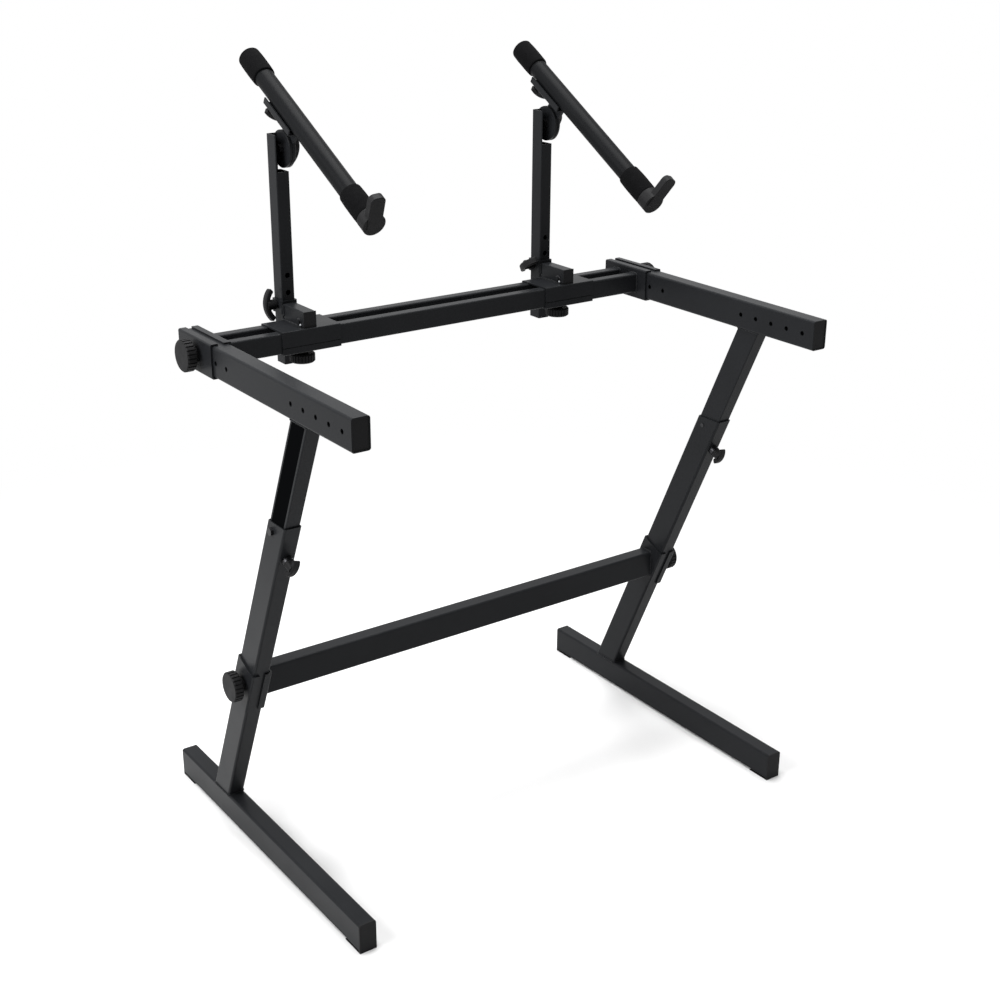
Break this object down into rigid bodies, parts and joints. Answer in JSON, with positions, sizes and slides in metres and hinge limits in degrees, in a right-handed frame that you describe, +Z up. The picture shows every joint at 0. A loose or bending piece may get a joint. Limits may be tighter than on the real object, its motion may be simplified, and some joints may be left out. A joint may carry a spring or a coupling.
{
  "type": "keyboard stand",
  "caption": "Z-style keyboard stand with leaning telescopic legs, level support arms, cross rails and sliding, tilting upper arms with foam grips and end lips.",
  "frame": {"origin": "on the floor under the middle of the overall box", "axes": "+Z up, front towards -Y, right towards +X"},
  "size_m": [0.9556, 0.663, 1.2957],
  "materials": {
    "coated_steel": "satin powder coat",
    "knob_plastic": "matte",
    "grip_foam": "matte foam"
  },
  "bodies": {
    "lower_frame": {"left_foot": "coated_steel", "right_foot": "coated_steel", "foot_end_caps": "knob_plastic", "left_lower_leg": "coated_steel", "right_lower_leg": "coated_steel", "lower_crossbar": "coated_steel", "crossbar_inner_saddles": "coated_steel", "crossbar_outer_saddles": "coated_steel", "height_nuts": "coated_steel", "leg_side_bolts": "coated_steel"},
    "upper_frame": {"left_upper_leg": "coated_steel", "right_upper_leg": "coated_steel", "left_support_arm": "coated_steel", "right_support_arm": "coated_steel", "arm_end_caps": "knob_plastic", "front_rail": "coated_steel", "rear_rail": "coated_steel", "rail_inner_saddles": "coated_steel", "rail_outer_saddles": "coated_steel"},
    "left_crossbar_knob": {"left_crossbar_knob": "knob_plastic"},
    "left_height_knob": {"left_height_knob": "knob_plastic"},
    "left_rail_knob": {"left_rail_knob": "knob_plastic"},
    "right_crossbar_knob": {"right_crossbar_knob": "knob_plastic"},
    "right_height_knob": {"right_height_knob": "knob_plastic"},
    "right_rail_knob": {"right_rail_knob": "knob_plastic"},
    "left_carriage": {"left_carriage_channel": "coated_steel", "left_clamp_plate": "coated_steel", "left_carriage_block": "coated_steel", "left_block_cap": "knob_plastic", "left_post_socket": "coated_steel"},
    "left_carriage_knob": {"left_carriage_knob": "knob_plastic"},
    "left_post": {"left_post": "coated_steel", "left_tilt_disc": "coated_steel", "left_tilt_bolt": "coated_steel"},
    "left_post_knob": {"left_post_knob": "knob_plastic"},
    "left_bracket": {"left_tilt_bracket": "coated_steel", "left_clamp_bolt": "coated_steel"},
    "left_tilt_knob": {"left_tilt_knob": "knob_plastic"},
    "left_arm": {"left_arm_tube": "coated_steel", "left_foam_grips": "grip_foam"},
    "left_arm_knob": {"left_arm_knob": "knob_plastic"},
    "left_end_lip": {"left_end_lip": "knob_plastic"},
    "right_carriage": {"right_carriage_channel": "coated_steel", "right_clamp_plate": "coated_steel", "right_carriage_block": "coated_steel", "right_block_cap": "knob_plastic", "right_post_socket": "coated_steel"},
    "right_carriage_knob": {"right_carriage_knob": "knob_plastic"},
    "right_post": {"right_post": "coated_steel", "right_tilt_disc": "coated_steel", "right_tilt_bolt": "coated_steel"},
    "right_post_knob": {"right_post_knob": "knob_plastic"},
    "right_bracket": {"right_tilt_bracket": "coated_steel", "right_clamp_bolt": "coated_steel"},
    "right_tilt_knob": {"right_tilt_knob": "knob_plastic"},
    "right_arm": {"right_arm_tube": "coated_steel", "right_foam_grips": "grip_foam"},
    "right_arm_knob": {"right_arm_knob": "knob_plastic"},
    "right_end_lip": {"right_end_lip": "knob_plastic"}
  },
  "joints": [
    {"name": "height_slide", "type": "slide", "parent": "lower_frame", "child": "upper_frame", "axis": [0, -0.4067, 0.9135], "range_m": [-0.15, 0.07]},
    {"name": "left_crossbar_knob_turn", "type": "hinge", "parent": "lower_frame", "child": "left_crossbar_knob", "pos_m": [-0.4365, 0.05153, 0.3136], "axis": [-1, 0, 0], "continuous": true},
    {"name": "left_height_knob_turn", "type": "hinge", "parent": "lower_frame", "child": "left_height_knob", "pos_m": [-0.4365, -0.07465, 0.597], "axis": [0, -0.9135, -0.4067], "continuous": true},
    {"name": "left_rail_knob_turn", "type": "hinge", "parent": "upper_frame", "child": "left_rail_knob", "pos_m": [-0.4365, 0.1455, 0.855], "axis": [-1, 0, 0], "continuous": true},
    {"name": "right_crossbar_knob_turn", "type": "hinge", "parent": "lower_frame", "child": "right_crossbar_knob", "pos_m": [0.4365, 0.05153, 0.3136], "axis": [1, 0, 0], "continuous": true},
    {"name": "right_height_knob_turn", "type": "hinge", "parent": "lower_frame", "child": "right_height_knob", "pos_m": [0.4365, -0.07465, 0.597], "axis": [0, -0.9135, -0.4067], "continuous": true},
    {"name": "right_rail_knob_turn", "type": "hinge", "parent": "upper_frame", "child": "right_rail_knob", "pos_m": [0.4365, 0.1455, 0.855], "axis": [1, 0, 0], "continuous": true},
    {"name": "left_carriage_slide", "type": "slide", "parent": "upper_frame", "child": "left_carriage", "axis": [1, 0, 0], "range_m": [-0.088, 0.19]},
    {"name": "left_carriage_knob_turn", "type": "hinge", "parent": "left_carriage", "child": "left_carriage_knob", "pos_m": [-0.266, 0.1455, 0.84], "axis": [0, 0, -1], "continuous": true},
    {"name": "left_post_slide", "type": "slide", "parent": "left_carriage", "child": "left_post", "axis": [0, 0, 1], "range_m": [-0.12, 0.06]},
    {"name": "left_post_knob_turn", "type": "hinge", "parent": "left_carriage", "child": "left_post_knob", "pos_m": [-0.266, 0.20095, 0.898], "axis": [-1, 0, 0], "continuous": true},
    {"name": "left_tilt", "type": "hinge", "parent": "left_post", "child": "left_bracket", "pos_m": [-0.266, 0.19895, 1.148], "axis": [1, 0, 0], "range_deg": [-30, 30]},
    {"name": "left_tilt_knob_turn", "type": "hinge", "parent": "left_post", "child": "left_tilt_knob", "pos_m": [-0.266, 0.19895, 1.148], "axis": [1, 0, 0], "continuous": true},
    {"name": "left_arm_slide", "type": "slide", "parent": "left_bracket", "child": "left_arm", "axis": [0, -0.8763, -0.4818], "range_m": [-0.05, 0.032]},
    {"name": "left_arm_knob_turn", "type": "hinge", "parent": "left_bracket", "child": "left_arm_knob", "pos_m": [-0.2517, 0.207, 1.22261], "axis": [0, 0.4818, -0.8763], "continuous": true},
    {"name": "left_lip_turn", "type": "hinge", "parent": "left_arm", "child": "left_end_lip", "pos_m": [-0.2517, -0.05221, 1.08011], "axis": [0, -0.8763, -0.4818], "range_deg": [-90, 90]},
    {"name": "right_carriage_slide", "type": "slide", "parent": "upper_frame", "child": "right_carriage", "axis": [1, 0, 0], "range_m": [-0.19, 0.088]},
    {"name": "right_carriage_knob_turn", "type": "hinge", "parent": "right_carriage", "child": "right_carriage_knob", "pos_m": [0.2595, 0.1455, 0.84], "axis": [0, 0, -1], "continuous": true},
    {"name": "right_post_slide", "type": "slide", "parent": "right_carriage", "child": "right_post", "axis": [0, 0, 1], "range_m": [-0.12, 0.06]},
    {"name": "right_post_knob_turn", "type": "hinge", "parent": "right_carriage", "child": "right_post_knob", "pos_m": [0.2595, 0.20095, 0.898], "axis": [-1, 0, 0], "continuous": true},
    {"name": "right_tilt", "type": "hinge", "parent": "right_post", "child": "right_bracket", "pos_m": [0.2595, 0.19895, 1.148], "axis": [1, 0, 0], "range_deg": [-30, 30]},
    {"name": "right_tilt_knob_turn", "type": "hinge", "parent": "right_post", "child": "right_tilt_knob", "pos_m": [0.2595, 0.19895, 1.148], "axis": [1, 0, 0], "continuous": true},
    {"name": "right_arm_slide", "type": "slide", "parent": "right_bracket", "child": "right_arm", "axis": [0, -0.8643, -0.503], "range_m": [-0.08, 0]},
    {"name": "right_arm_knob_turn", "type": "hinge", "parent": "right_bracket", "child": "right_arm_knob", "pos_m": [0.2738, 0.20518, 1.22278], "axis": [0, 0.503, -0.8643], "continuous": true},
    {"name": "right_lip_turn", "type": "hinge", "parent": "right_arm", "child": "right_end_lip", "pos_m": [0.2738, -0.07441, 1.06006], "axis": [0, -0.8643, -0.503], "range_deg": [-90, 90]}
  ]
}
